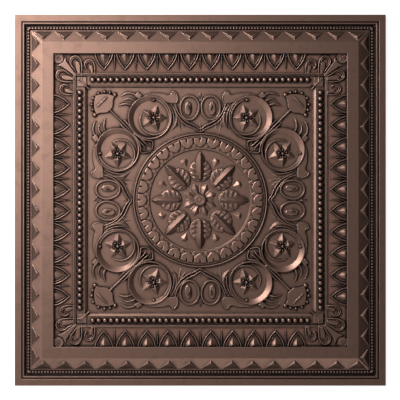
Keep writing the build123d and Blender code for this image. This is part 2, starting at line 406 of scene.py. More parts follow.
# Lines along the border, measured inwards from the tile's edge, with floors above the field.
CORD_LINE = 0.0221
CORD_FLOOR = 0.0002
LIP_LINE = 0.0264
LIP_HEIGHT = 0.0014
TEETH_RUN = 0.0182
EGG_TOP = 0.0632
EGG_FLOOR_END = 0.0944
PEARL_LINE = 0.1060
PEARL_FLOOR = 0.0036

# How many teeth and eggs there are from the centre line to past the corner.
TEETH = 8
EGGS = 5

# Where the block under the stepped sheet starts along X, and how low its foot is.
BLOCK_START = -0.04
BLOCK_FOOT = -0.02

# Where each band of the sheet starts, measured inwards from its edge, and its height.
# The names are those of the heights that a user may change, or None for a fixed height.
BANDS = (
    (-0.0200, "rim_height", 0.0),
    (0.0107, "rim_height", 0.0),
    (0.0114, "rim_height", -0.0019),
    (0.0124, "rim_height", -0.0019),
    (0.0131, "rim_height", 0.0),
    (0.0150, "rim_height", 0.0),
    (0.0185, None, CORD_FLOOR),
    (0.0250, None, CORD_FLOOR),
    (0.0253, None, LIP_HEIGHT),
    (LIP_LINE, None, LIP_HEIGHT),
    (0.0446, "frame_height", 0.0),
    (0.0630, "frame_height", 0.0),
    (0.0640, "band_height", 0.0),
    (EGG_FLOOR_END, "band_height", 0.0),
    (0.0950, None, 0.0052),
    (0.0962, None, 0.0052),
    (0.0970, None, 0.0040),
    (0.0976, None, 0.0052),
    (0.0988, None, 0.0052),
    (0.0993, None, 0.0020),
    (0.1003, None, 0.0020),
    (0.1007, None, PEARL_FLOOR),
    (0.1128, None, PEARL_FLOOR),
    (0.1132, None, 0.0042),
    (0.1172, None, 0.0022),
    (0.1184, None, 0.0),
    (0.3200, None, 0.0),
)


def face_height(kind, extra):
    """Height of a band's face above the floor that the field's back lies on."""
    sheet = sizes("tile_sheet")
    base = getattr(sheet, kind) if kind else 0.0
    return sheet.gauge + base + extra


def edge(distance):
    """Distance from the centre of a line that runs this far inside the edge."""
    return sizes("tile_sheet").side / 2 - distance


def field():
    """Height of the field's face."""
    return sizes("tile_sheet").gauge


class TILE_OT_bands(bpy.types.Operator):
    """Draw the section through one side and extrude it along the side"""

    bl_idname = "tile.bands"
    bl_label = "Stepped Bands"

    def execute(self, context):
        """The block whose top is the stepped sheet."""
        line = [(edge(distance), face_height(kind, extra)) for distance, kind, extra in BANDS]
        loop = [(BLOCK_START, y, z) for y, z in reversed(line)]
        loop.insert(0, (BLOCK_START, line[-1][0], BLOCK_FOOT))
        loop.append((BLOCK_START, line[0][0], BLOCK_FOOT))
        length = sizes("tile_sheet").side / 2 - 2 * BLOCK_START
        block = drawn("sheet_block", loop)
        edit_all()
        bpy.ops.mesh.extrude_region_move(TRANSFORM_OT_translate={"value": (length, 0, 0)})
        bpy.ops.mesh.select_all(action="SELECT")
        outward()
        if len(block.data.vertices) != 2 * len(loop):
            raise RuntimeError("the stepped bands weren't extruded")
        return {"FINISHED"}


class TILE_OT_beads(bpy.types.Operator):
    """Model one fine bead and one large bead, and repeat each in a row"""

    bl_idname = "tile.beads"
    bl_label = "Bead Rows"

    def execute(self, context):
        """Both rows, from the centre line to the corner, and the bead in the corner."""
        border = sizes("tile_border")
        floor = face_height(None, CORD_FLOOR)
        line = edge(CORD_LINE)
        stud = on_circle((0, 0), border.fine_bead, range(0, 360, 60))
        stud = [(x, y + line) for x, y in stud]
        fine = raised("form_fine_beads", stud, floor, 0.0002, 0.0034, 0.0003, 0.0004)
        repeated(fine, border.fine_pitch, int(line / border.fine_pitch) + 1)
        dome("form_corner_bead", line, line, floor, 0.0030, 0.0042, segments=10)
        floor = face_height(None, PEARL_FLOOR)
        line = edge(PEARL_LINE)
        middle = border.large_pitch / 2
        large = dome(
            "form_large_beads", middle, line, floor, border.large_bead, 0.0046, segments=12, rings=8
        )
        repeated(large, border.large_pitch, int(line / border.large_pitch - 1.0))
        return {"FINISHED"}


class TILE_OT_teeth(bpy.types.Operator):
    """Model one tooth on the outer slope and repeat it"""

    bl_idname = "tile.teeth"
    bl_label = "Teeth"

    def execute(self, context):
        """A three-sided pyramid whose foot lies in the slope."""
        border = sizes("tile_border")
        low = face_height(None, LIP_HEIGHT)
        high = face_height("frame_height", 0.0)
        lean = atan((high - low) / TEETH_RUN)
        pitch = border.tooth_pitch

        def on_slope(across, run, rise):
            up = run * (high - low) / TEETH_RUN
            return (
                pitch / 2 + across,
                edge(LIP_LINE) - run + rise * sin(lean),
                low + up + rise * cos(lean),
            )

        foot = [
            on_slope(-pitch * 0.485, 0.0003, -TOE),
            on_slope(0, TEETH_RUN * 0.86, -TOE),
            on_slope(pitch * 0.485, 0.0003, -TOE),
        ]
        tooth = pointed("form_teeth", foot, on_slope(0, TEETH_RUN * 0.63, border.tooth_rise))
        repeated(tooth, pitch, TEETH)
        return {"FINISHED"}


class TILE_OT_eggs(bpy.types.Operator):
    """Model one egg with its pointed rims and one dart, and repeat them"""

    bl_idname = "tile.eggs"
    bl_label = "Eggs and Darts"

    def execute(self, context):
        """The eggs stand between the darts, with their tips towards the centre."""
        border = sizes("tile_border")
        floor = face_height("band_height", 0.0)
        middle = border.egg_pitch / 2
        top = edge(EGG_TOP)
        curve = ((1.04, 1.02), (0.67, 0.83), (0.35, 0.52))
        for name, wide, tip, width, rise in (
            ("form_egg_rims", 0.0146, 0.0890, 0.00125, 2.3),
            ("form_egg_inner_rims", 0.0106, 0.0838, 0.00060, 2.8),
        ):
            low = edge(tip)
            deep = top - low
            line = [(middle + wide * spread, low + deep * share) for share, spread in curve]
            line.append((middle, low))
            line += [(middle - wide * spread, low + deep * share) for share, spread in reversed(curve)]
            stations = [(x / GRID, y / GRID, width / GRID) for x, y in line]
            rim = ridge(name, stations, floor, rise, steps=1, straight=True)
            repeated(rim, border.egg_pitch, EGGS)
        corners = (
            (-0.0086, top + 0.0004), (-0.0062, top - 0.0085), (0.0, edge(0.0806)),
            (0.0062, top - 0.0085), (0.0086, top + 0.0004),
        )
        foot = [(middle + across, y, floor - TOE) for across, y in corners]
        egg = pointed("form_eggs", foot, (middle, top - 0.0030, floor + border.egg_rise))
        repeated(egg, border.egg_pitch, EGGS)
        stations = [
            (0, (top - down) / GRID, width)
            for down, width in ((-0.001, 0.5), (0.005, 1.35), (0.012, 1.75), (0.020, 1.3), (0.030, 0.25))
        ]
        dart = ridge("form_darts", stations, floor, 1.0, sides=0, steps=3)
        repeated(dart, border.egg_pitch, EGGS)
        return {"FINISHED"}


class TILE_OT_corner(bpy.types.Operator):
    """Model the rosette, stem, volutes and block at the corner of the egg band"""

    bl_idname = "tile.corner"
    bl_label = "Corner of the Border"

    def execute(self, context):
        """Everything is drawn on both sides of the mitre where it crosses it."""
        floor = face_height("band_height", 0.0)
        centre = (141.8, 141.8)
        disc = on_circle(centre, 5.3, range(0, 360, 20))
        raised("form_rosette", grid(disc), floor, 0.0006, 0.0018, 0.0010, -0.0008)
        places = on_circle(centre, 1.6, range(0, 360, 72))
        dots("form_rosette_dot", places, floor + 0.0008, 0.0011, 0.0014)
        stem = [(144.6, 134.2), (139.0, 133.6), (133.0, 129.2), (124.8, 123.2), (123.2, 124.8)]
        stem += over_mitre(reversed(stem[:3])) + [(137.8, 137.8)]
        raised("form_corner_stem", grid(stem), floor, 0.0009, 0.0022)
        # Each row is a name, the half width and lift of the ridge, and its line.
        for name, width, rise, line in (
            ("form_large_volute", 0.95, 2.0,
             [(118.6, 125.6), (118.4, 132.2), (118.8, 137.2), (120.4, 141.4), (123.4, 143.9),
              (127.0, 143.6), (129.6, 141.2), (130.1, 138.2), (128.9, 134.8), (126.6, 131.8),
              (124.0, 127.4)]),
            ("form_large_volute_lip", 0.5, 3.2,
             [(120.2, 136.0), (121.4, 140.0), (123.8, 142.2), (126.6, 142.0), (128.4, 140.2),
              (128.6, 137.8), (127.6, 135.4)]),
            ("form_small_volute", 0.9, 2.0,
             [(106.0, 125.6), (105.4, 130.2), (105.8, 134.4), (107.4, 138.2), (110.4, 140.2),
              (113.4, 139.6), (115.3, 137.4), (115.5, 134.8), (114.2, 132.2), (112.8, 130.9)]),
            ("form_small_volute_lip", 0.5, 3.0,
             [(107.4, 133.8), (108.6, 136.8), (110.8, 138.4), (112.8, 137.9), (113.9, 136.2),
              (113.9, 134.4)]),
        ):
            share = [0.55] + [1.0] * (len(line) - 2) + [0.45]
            stations = [(x, y, width * part) for (x, y), part in zip(line, share)]
            ridge(name, stations, floor, rise, steps=2)
        for name, outline in (
            ("form_large_body",
             [(119.6, 126.2), (119.6, 134.6), (120.9, 138.2), (123.3, 139.4), (125.3, 137.8),
              (125.3, 133.4), (124.3, 129.8), (122.6, 126.2)]),
            ("form_small_body",
             [(106.8, 126.2), (106.6, 131.8), (107.8, 134.8), (109.8, 135.8), (111.6, 134.4),
              (111.6, 131.6), (110.0, 128.8), (109.0, 126.2)]),
        ):
            raised(name, grid(outline), floor, 0.0008, 0.0014, 0.0006, 0.0004)
        low = face_height(None, PEARL_FLOOR)
        top = low + 0.0014
        square = [(113.4, 113.4), (123.2, 113.4), (123.2, 123.2), (113.4, 123.2)]
        raised("form_corner_block", grid(square), low, 0.0008, 0.0018)
        bar = [(111.0, 111.0, 0.6), (114.6, 114.6, 0.8), (116.2, 116.2, 0.8)]
        ridge("form_block_bar", bar, top, 1.2, straight=True)
        branch = [(116.2, 116.2, 0.7), (118.0, 119.0, 0.6), (118.6, 123.6, 0.55)]
        ridge("form_block_branch", branch, top, 1.2)
        places = on_circle((120.0, 120.0), 1.3, (0, 90, 180, 270))
        dots("form_block_dot", places, low + 0.0018, 0.0010, 0.0011)
        return {"FINISHED"}


class TILE_OT_fan(bpy.types.Operator):
    """Model the studded fan, its stem and the trumpet on the field's diagonal"""

    bl_idname = "tile.fan"
    bl_label = "Corner Fan"

    def execute(self, context):
        """The fan's plate, studs and bar, then the stem, the clasp and the trumpet."""
        base = field()
        half = [(85.6, 104.2), (87.1, 100.2), (87.5, 93.2), (90.0, 90.0)]
        outer = [(104.6, 104.6), (101.0, 105.8), (95.6, 106.4), (91.2, 106.2)]
        plate = half + over_mitre(reversed(half[:-1])) + over_mitre(reversed(outer[1:])) + outer
        raised("form_fan_plate", grid(plate), base, 0.0005, 0.0030)
        studs = ((101.9, 107.1, 1.9), (95.7, 108.6, 2.0), (90.4, 107.7, 2.0), (85.3, 105.5, 2.6))
        for number, (x, y, radius) in enumerate(studs):
            pair = ((x, y), (y, x))
            dots(f"form_stud_{number}", pair, base, radius * GRID, 0.0034, segments=10)
        bar = [(103.4, 93.2, 0.7), (102.6, 94.0, 1.1), (94.0, 102.6, 1.1), (93.2, 103.4, 0.7)]
        ridge("form_fan_bar", bar, base + 0.0029, 1.1, straight=True)
        ridge("form_stem", [(90.4, 90.4, 1.25), (66.0, 66.0, 1.25)], base, 1.5, straight=True)
        line = [(90.6, 90.6, 0.4), (66.0, 66.0, 0.4)]
        ridge("form_stem_line", line, base + 0.0022, 1.9, straight=True)
        strand = [(79.8, 82.0, 0.3), (74.6, 78.6, 0.9), (70.2, 73.4, 1.15), (66.2, 67.8, 0.9)]
        ridge("form_strand_upper", strand, base, 2.0, steps=3)
        ridge("form_strand_lower", over_mitre(strand), base, 2.0, steps=3)
        clasp = [(68.6, 63.6, 0.7), (67.2, 65.0, 1.2), (65.0, 67.2, 1.2), (63.6, 68.6, 0.7)]
        ridge("form_clasp", clasp, base, 2.2, straight=True)
        flange = [(64.8, 67.6), (60.0, 64.4), (54.0, 61.6), (49.6, 60.2), (49.2, 49.2)]
        flange += over_mitre(reversed(flange[:-1]))
        top = base + 0.0004
        raised("form_trumpet", grid(flange), base, 0.0004, 0.0004)
        lip = [(65.6, 66.6, 0.7), (61.0, 63.2, 0.9), (55.8, 60.6, 1.0), (50.8, 59.6, 0.9),
               (48.0, 59.0, 0.8), (48.6, 49.8, 0.5)]
        flute = [(63.6, 65.4, 0.4), (58.4, 60.4, 0.7), (53.6, 56.0, 0.7), (50.6, 54.0, 0.4)]
        for side, edge_line, flute_line in (
            ("upper", lip, flute),
            ("lower", over_mitre(lip), over_mitre(flute)),
        ):
            ridge(f"form_trumpet_edge_{side}", edge_line, top, 3.0, steps=3)
            ridge(f"form_trumpet_flute_{side}", flute_line, top, 3.2, steps=3)
        return {"FINISHED"}


class TILE_OT_vine(bpy.types.Operator):
    """Model the round vine with its star flower"""

    bl_idname = "tile.vine"
    bl_label = "Round Vine"

    def execute(self, context):
        """A ring that is broad on one side, the line that curls in it, and the flower."""
        base = field()
        rise = sizes("tile_field").vine_rise
        centre = (50.4, 82.85)
        eye = (48.5, 81.5)
        steps = 56
        loops = (
            (centre, 22.7, -SINK),
            (centre, 21.6, rise),
            (centre, 20.7, rise * 0.93),
            (eye, 17.2, -SINK),
        )
        start()
        bpy.ops.mesh.primitive_torus_add(major_segments=steps, minor_segments=len(loops))
        ring = bpy.context.object
        ring.name = "form_vine_ring"
        for number in range(steps):
            turn = 2 * pi * number / steps
            for corner, (middle, radius, height) in enumerate(loops):
                ring.data.vertices[len(loops) * number + corner].co = (
                    (middle[0] + radius * cos(turn)) * GRID,
                    (middle[1] + radius * sin(turn)) * GRID,
                    base + height,
                )
        edit_all()
        outward()
        curl = [
            (57.9, 87.6, 0.3), (59.5, 84.4, 0.7), (60.2, 80.6, 0.9), (59.5, 75.0, 1.0), (56.4, 69.9, 1.0),
            (51.3, 66.5, 1.05), (44.8, 65.6, 1.1), (38.3, 67.3, 1.1), (33.7, 71.4, 1.15),
            (31.2, 77.0, 1.2), (30.6, 83.0, 1.25), (32.0, 89.0, 1.3), (35.2, 94.5, 1.3),
            (39.4, 98.6, 1.2), (43.4, 100.6, 1.1),
        ]
        ridge("form_vine_curl", curl, base, 1.6, steps=2)
        dome("form_vine_end", 46.6 * GRID, 100.2 * GRID, base, 1.9 * GRID, 0.0040, segments=10)
        hub = (46.4, 82.6)
        petal_rise = sizes("tile_field").star_rise
        broad = 4.9
        shape = ((0.0, 1.4), (0.22, 3.4), (0.45, broad), (0.74, 2.6), (1.0, 0.1))
        tips = ((42.9, 95.4), (32.6, 82.2), (42.2, 68.4), (58.3, 73.6), (58.4, 90.6))
        for number, (x, y) in enumerate(tips):
            name = f"form_star_petal_{number}"
            stations = [
                (hub[0] + (x - hub[0]) * share, hub[1] + (y - hub[1]) * share, width)
                for share, width in shape
            ]
            ridge(name, stations, base, petal_rise / (broad * GRID), sides=0, steps=1, straight=True)
        dome(
            "form_star_hub", hub[0] * GRID, hub[1] * GRID, base, 2.3 * GRID, 0.0050, segments=10, rings=8
        )
        places = on_circle(hub, 3.9, (70, 142, 214, 286, 358))
        dots("form_star_dot", places, base + 0.0030, 0.0017, 0.0017)
        return {"FINISHED"}


class TILE_OT_scrolls(bpy.types.Operator):
    """Model the leaves, ribbon, bracket and scrolls beside the vine"""

    bl_idname = "tile.scrolls"
    bl_label = "Scrollwork"

    def execute(self, context):
        """Each leaf and line is a ridge along its own drawn line."""
        base = field()
        # Each row is a name, the lift of the ridge, its sides and its stations.
        for name, lift, sides, stations in (
            ("form_tuft_top", 1.7, 1,
             [(79.8, 103.6, 0.3), (76.5, 106.0, 0.9), (71.5, 107.3, 1.1), (66.3, 106.2, 1.1),
              (61.8, 102.6, 1.2)]),
            ("form_tuft_middle", 1.7, 1,
             [(77.8, 99.6, 0.3), (73.0, 101.6, 0.9), (68.6, 101.0, 1.1), (64.6, 98.2, 0.9)]),
            ("form_tuft_low", 1.7, 1,
             [(82.4, 94.2, 0.3), (78.0, 96.0, 1.1), (73.0, 96.4, 1.3), (68.0, 94.4, 0.8)]),
            ("form_ribbon_top", 1.9, 1,
             [(57.8, 103.0, 0.6), (53.6, 105.2, 0.75), (47.6, 106.4, 0.8), (41.2, 106.4, 0.8),
              (35.4, 105.6, 0.8), (31.4, 104.6, 0.8), (28.4, 106.6, 0.9), (27.6, 108.6, 0.9),
              (25.0, 107.6, 1.0), (23.0, 104.6, 1.0), (22.8, 100.6, 1.0), (23.8, 97.0, 0.8)]),
            ("form_ribbon_low", 1.7, 1,
             [(47.0, 103.2, 0.5), (42.6, 102.0, 0.8), (37.4, 99.6, 0.9), (31.4, 98.0, 0.9),
              (24.4, 97.2, 0.8)]),
            ("form_stalk", 1.6, 1,
             [(34.0, 97.6, 0.6), (29.6, 92.6, 0.9), (27.0, 86.2, 0.95), (26.2, 80.0, 0.9),
              (26.8, 75.6, 0.6)]),
            ("form_stalk_leaf", 0.6, 0,
             [(29.6, 97.2, 0.8), (25.8, 90.0, 1.6), (23.6, 83.0, 2.4), (24.4, 76.4, 3.0),
              (29.4, 69.4, 0.2)]),
            ("form_thorn_inner", 0.7, 0, [(24.8, 88.0, 0.8), (21.6, 79.0, 1.6), (19.2, 67.4, 0.15)]),
            ("form_thorn_outer", 0.7, 0, [(24.0, 86.0, 0.9), (18.6, 77.8, 1.6), (15.0, 71.6, 0.15)]),
            ("form_bracket_top", 1.9, 1,
             [(25.4, 97.2, 0.7), (23.4, 90.4, 0.85), (19.4, 84.0, 0.95), (14.0, 79.2, 0.95),
              (8.2, 76.2, 0.9), (4.2, 74.2, 0.85), (0.0, 71.2, 0.8), (-4.2, 74.2, 0.85)]),
            ("form_bracket_low", 1.9, 1,
             [(26.4, 94.4, 0.5), (24.4, 88.2, 0.7), (20.8, 81.6, 0.8), (15.6, 76.6, 0.8),
              (9.6, 73.4, 0.8), (4.4, 71.2, 0.75), (0.0, 68.4, 0.7), (-4.4, 71.2, 0.75)]),
            ("form_bracket_drop", 0.7, 0,
             [(0.0, 77.6, 0.4), (0.0, 73.2, 1.2), (0.0, 68.0, 1.3), (0.0, 65.6, 0.2)]),
            ("form_volute_heart", 2.2, 0,
             [(12.9, 96.4, 0.4), (11.4, 93.4, 1.7), (10.4, 90.4, 1.2), (10.4, 87.6, 0.4)]),
            ("form_bud", 0.8, 0,
             [(0.0, 107.6, 0.25), (0.0, 105.0, 1.5), (0.0, 101.6, 1.1), (0.0, 98.4, 0.9)]),
            ("form_bud_wing", 0.8, 0,
             [(3.4, 104.6, 0.3), (2.4, 103.2, 1.0), (1.2, 100.8, 1.0), (0.4, 98.4, 0.6)]),
        ):
            ridge(name, stations, base, lift, sides=sides, steps=3)
        ribbon = [
            (57.6, 103.2), (47.4, 102.8), (42.4, 101.6), (37.2, 99.2), (31.2, 97.6), (24.2, 97.0),
            (22.9, 100.4), (23.2, 104.4), (25.4, 107.2), (27.6, 108.2), (28.6, 106.2),
            (31.6, 104.4), (35.4, 105.4), (41.2, 106.2), (47.6, 106.2), (53.4, 105.0),
        ]
        raised("form_ribbon", grid(ribbon), base, 0.0004, 0.0022)
        tab = [(62.8, 108.7), (57.9, 104.9), (60.9, 101.4), (66.0, 104.0)]
        raised("form_tab", grid(tab), base, 0.0005, 0.0028)
        oval = [(16.0, 92.0), (15.2, 96.6), (12.6, 99.2), (9.8, 98.0), (8.6, 95.0), (8.5, 90.0),
                (9.6, 86.0), (12.4, 84.3), (14.9, 86.2), (15.8, 89.0)]
        raised("form_volute_oval", grid(oval), base, 0.0010, 0.0020, 0.0010, 0.0004)
        volute = [(10.6, 104.2), (5.2, 102.4), (1.9, 97.6), (1.3, 92.4), (2.9, 86.4), (6.6, 81.8),
                  (10.8, 80.6), (15.6, 82.2), (18.8, 86.6), (19.9, 92.2), (18.9, 97.8), (15.6, 102.6)]
        stations = [(x, y, 1.25) for x, y in volute]
        ridge("form_volute_ring", stations, base, 1.5, steps=3, cyclic=True)
        return {"FINISHED"}


class TILE_OT_medallion(bpy.types.Operator):
    """Model the ring, one lobe, one leaf, one bud and the centre flower, and turn copies"""

    bl_idname = "tile.medallion"
    bl_label = "Medallion"

    def execute(self, context):
        """Copies are turned about the centre as far as the eighth needs."""
        base = field()
        art = sizes("tile_field")
        outer = art.ring_radius
        root = base - 0.003
        top = base + art.ring_rise
        flat = base + 0.0015
        ring = [
            (outer + 0.0034, root), (outer + 0.0026, base), (outer + 0.0008, top),
            (outer - 0.0008, top), (outer - 0.0022, base), (outer - 0.0030, root),
        ]
        band = [
            (0.0848, root), (0.1052, root), (0.1052, flat), (0.0832, flat), (0.0812, base), (0.0806, root),
        ]
        for name, section in (("form_ring", ring), ("form_lobe_band", band)):
            # The section stands a little before the centre line and is spun past the mitre.
            turned(drawn(name, [(0, y, z) for y, z in section]), radians(-12))
            edit_all()
            bpy.ops.mesh.spin(steps=28, angle=radians(70), center=(0, 0, 0), axis=(0, 0, 1))
            bpy.ops.mesh.select_all(action="SELECT")
            bpy.ops.mesh.remove_doubles(threshold=1e-7)
            outward()
        step = 2 * pi / art.lobes
        half = step / 2

        def out(radius, share):
            return (radius * sin(half * share), radius * cos(half * share))

        side = [(62.9, 0.12), (62.9, 0.90), (60.4, 0.94), (58.0, 0.985), (55.7, 0.74), (53.8, 0.40)]
        outline = [out(radius, share) for radius, share in side] + [out(52.7, 0.0)]
        outline += [out(radius, -share) for radius, share in reversed(side)] + [out(60.0, 0.0)]
        under = [out(57.6, 0.40), out(50.9, 1.0), out(57.6, 1.60)]
        lobe_floor = base + 0.0013
        lobe = [
            raised("form_lobe_0", grid(outline), lobe_floor, 0.0005, 0.0020, 0.0010, 0.0004),
            raised("form_lobe_under_0", grid(under), lobe_floor, 0.0005, 0.0010),
        ]
        for number in range(1, art.lobes // 8 + 2):
            for piece in lobe:
                turned_copy(piece, piece.name[:-1] + str(number), number * step)
        for piece in lobe:
            turned_copy(piece, piece.name[:-1] + "left", -step)
        pad = on_circle((0, 29.4), 11.4, range(120, 421, 20))
        pad += [(4.4, 39.0), (3.3, 44.0), (0, 48.4), (-3.3, 44.0), (-4.4, 39.0)]
        keel = [(0, 18.9, 0.3), (0, 21.0, 3.2), (0, 27.0, 4.5), (0, 34.0, 4.7), (0, 41.0, 4.3),
                (0, 45.0, 2.8), (0, 48.6, 0.2)]
        keel_foot = 0.0015
        lift = (art.leaf_rise - keel_foot) / (4.7 * GRID)
        leaf = [
            raised("form_leaf_pad_0", grid(pad), base, 0.0008, 0.0014, 0.0008, 0.0004),
            ridge("form_leaf_keel_0", keel, base + keel_foot, lift, sides=0, straight=True),
        ]
        leaflets = (
            (21.6, 23.4, 7.6, 1.9), (25.4, 28.6, 9.6, 2.2), (30.2, 34.0, 9.4, 2.2), (34.8, 38.2, 7.0, 1.9),
        )
        for side, word in ((-1, "left"), (1, "right")):
            for number, (low, high, reach, width) in enumerate(leaflets):
                stations = [
                    (side * 3.0, low, width * 0.7),
                    (side * reach * 0.62, low + 0.9, width),
                    (side * reach * 0.92, (low + high) / 2 + 0.5, width * 0.8),
                    (side * reach, high, 0.5),
                ]
                leaf.append(ridge(f"form_leaflet_{word}_{number}_0", stations, base + 0.0012, 0.62, steps=2))
        for piece in leaf:
            turned_copy(piece, piece.name[:-1] + "1", pi / 4)
        corners = ((0, 34.8), (4.3, 41.4), (2.6, 44.6), (-2.6, 44.6), (-4.3, 41.4))
        foot = [(x * GRID, y * GRID, base - TOE) for x, y in corners]
        bud = pointed("form_bud_spoke", foot, (0, 42.0 * GRID, base + 0.0028))
        spoke = [(0, 6.0, 2.2), (0, 9.0, 3.0), (0, 12.4, 3.9), (0, 15.0, 2.4), (0, 17.4, 0.2)]
        petal = ridge("form_petal_spoke", spoke, base, 0.5, sides=0, steps=2)
        for piece in (bud, petal):
            turned(piece, pi / 8)
        small = [(0, 6.0, 1.0), (0, 10.0, 1.5), (0, 12.6, 1.1), (0, 14.6, 0.2)]
        sepal = ridge("form_sepal_0", small, base, 0.48, sides=0, steps=2)
        turned_copy(sepal, "form_sepal_1", pi / 4)
        dome("form_boss", 0, 0, base, 7.2 * GRID, 0.0042, segments=32, rings=12)
        fold = [(x, y, 2.1) for x, y in on_circle((0, 0), 3.9, range(0, 360, 45))]
        ridge("form_boss_ring", fold, base + 0.0030, 0.50, cyclic=True)
        return {"FINISHED"}


def united(block, forms):
    """Unites the block with all the forms raised on it, as one closed surface."""
    relief = joined(forms)
    alone(block)
    unite = block.modifiers.new("Unite", "BOOLEAN")
    unite.operation = "UNION"
    unite.solver = "EXACT"
    unite.use_self = True
    unite.object = relief
    bpy.ops.object.modifier_apply(modifier=unite.name)
    bpy.data.objects.remove(relief)


def trimmed(block, reach):
    """Keeps the top of the block between the centre line, the mitre and the tile's edge."""
    cuts = (((0, 0, 0), (-1, 0, 0)), ((0, 0, 0), (1, -1, 0)), ((0, reach, 0), (0, 1, 0)))
    for place, away in cuts:
        edit_all()
        bpy.ops.mesh.bisect(plane_co=place, plane_no=away, clear_outer=True, threshold=1e-6)
        bpy.ops.object.mode_set(mode="OBJECT")
    cleared("FACE")
    for face in block.data.polygons:
        face.select = face.center.z < BLOCK_FOOT / 2
    bpy.ops.object.mode_set(mode="EDIT")
    bpy.ops.mesh.delete(type="FACE")
    bpy.ops.mesh.select_all(action="SELECT")
    bpy.ops.mesh.delete_loose()
    bpy.ops.object.mode_set(mode="OBJECT")


def turned_round(block):
    """Mirrors the eighth at the centre line, and turns that quarter into the whole front."""
    mirror = block.modifiers.new("Half", "MIRROR")
    mirror.merge_threshold = 1e-5
    bpy.ops.object.modifier_apply(modifier=mirror.name)
    joined([block] + [turned_copy(block, f"quarter_{n}", n * pi / 2) for n in (1, 2, 3)])
    edit_all()
    bpy.ops.mesh.remove_doubles(threshold=SEAM)
    bpy.ops.object.mode_set(mode="OBJECT")


def backed(front, gauge, reach):
    """Gives the front a back one gauge below it, joined to it round the tile's edge."""
    alone(front)
    bpy.ops.object.duplicate()
    back = bpy.context.object
    edit_all()
    bpy.ops.transform.translate(value=(0, 0, -gauge))
    bpy.ops.mesh.flip_normals()
    bpy.ops.object.mode_set(mode="OBJECT")
    joined([front, back])
    cleared("EDGE")
    corners = front.data.vertices
    for line in front.data.edges:
        ends = [corners[number].co for number in line.vertices]
        line.select = any(
            all(abs(abs(end[axis]) - reach) < SEAM for end in ends) for axis in (0, 1)
        )
    bpy.ops.object.mode_set(mode="EDIT")
    bpy.ops.mesh.bridge_edge_loops()
    bpy.ops.object.mode_set(mode="OBJECT")


class TILE_OT_form(bpy.types.Operator):
    """Unite the forms with the sheet, trim the eighth and turn it into the whole tile"""

    bl_idname = "tile.form"
    bl_label = "Form the Sheet"

    def execute(self, context):
        """The front is mirrored at the centre line and turned three times, then backed."""
        sheet = sizes("tile_sheet")
        reach = sheet.side / 2
        forms = [o for o in bpy.data.objects if o.name.startswith("form_")]
        block = bpy.data.objects["sheet_block"]
        united(block, forms)
        trimmed(block, reach)
        turned_round(block)
        backed(block, sheet.gauge, reach)
        block.name = "ceiling_tile_sheet"
        edit_all()
        bpy.ops.mesh.set_sharpness_by_angle(angle=SHEET_FOLD, extend=True)
        bpy.ops.object.mode_set(mode="OBJECT")
        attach(block, "root")
        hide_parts("ceiling_tile")
        return {"FINISHED"}


def ramp(tree, source, low, high, to_low=0.0, to_high=1.0):
    """A value of a material, taken from one range to another."""
    node = tree.nodes.new("ShaderNodeMapRange")
    node.inputs["From Min"].default_value = low
    node.inputs["From Max"].default_value = high
    node.inputs["To Min"].default_value = to_low
    node.inputs["To Max"].default_value = to_high
    tree.links.new(source, node.inputs["Value"])
    return node.outputs["Result"]


def sums(tree, operation, first, second, clamp=False):
    """Two values of a material put together; the second may be a plain number."""
    node = tree.nodes.new("ShaderNodeMath")
    node.operation = operation
    node.use_clamp = clamp
    tree.links.new(first, node.inputs[0])
    if isinstance(second, float):
        node.inputs[1].default_value = second
    else:
        tree.links.new(second, node.inputs[1])
    return node.outputs["Value"]


def openness(tree, distance):
    """How open the surface is, within a distance."""
    node = tree.nodes.new("ShaderNodeAmbientOcclusion")
    node.samples = 8
    node.inputs["Distance"].default_value = distance
    return node.outputs["AO"]


# How far the finish looks round a place for the patina and painted shade in its nooks and valleys, and how
# wide an edge is rounded and painted with a highlight and wear.
NOOK_REACH = 0.0050
VALLEY_REACH = 0.026
EDGE_ROUNDING = 0.0010

# Roughness of the patina and of the egg band's matt floor, and how much of the rubbed copper that floor
# keeps, as it is darkened by patina and painted shade.
PATINA_ROUGHNESS = 0.62
MATT_ROUGHNESS = 0.82
MATT_PATINA_AND_SHADE = 0.86


def egg_band_floor(tree, place):
    """One on the low parts of the egg band, where the finish is left matt and is darkened, as patina and
    painted shade.
    """
    spot = tree.nodes.new("ShaderNodeSeparateXYZ")
    tree.links.new(place, spot.inputs["Vector"])
    across = sums(tree, "ABSOLUTE", spot.outputs["X"], 0.0)
    along = sums(tree, "ABSOLUTE", spot.outputs["Y"], 0.0)
    away = sums(tree, "MAXIMUM", across, along)
    start_line = ramp(tree, away, edge(EGG_TOP + 0.0010), edge(EGG_TOP), 1.0, 0.0)
    end_line = ramp(tree, away, edge(EGG_FLOOR_END + 0.0010), edge(EGG_FLOOR_END + 0.0002))
    low = ramp(tree, spot.outputs["Z"], 0.0052, 0.0066, 1.0, 0.0)
    return sums(tree, "MULTIPLY", sums(tree, "MULTIPLY", start_line, end_line), low)


def noise(tree, place, scale, detail):
    """A noise on the tile's own coordinates."""
    node = tree.nodes.new("ShaderNodeTexNoise")
    node.inputs["Scale"].default_value = scale
    node.inputs["Detail"].default_value = detail
    tree.links.new(place, node.inputs["Vector"])
    return node.outputs["Fac"]


def mixed(tree, share, first, second):
    """Two colours mixed by a share; each is a colour or another node's output."""
    node = tree.nodes.new("ShaderNodeMix")
    node.data_type = "RGBA"
    tree.links.new(share, node.inputs["Factor"])
    for socket, colour in (("A", first), ("B", second)):
        if isinstance(colour, bpy.types.NodeSocket):
            tree.links.new(colour, node.inputs[socket])
        else:
            node.inputs[socket].default_value = (*colour, 1)
    return node.outputs["Result"]


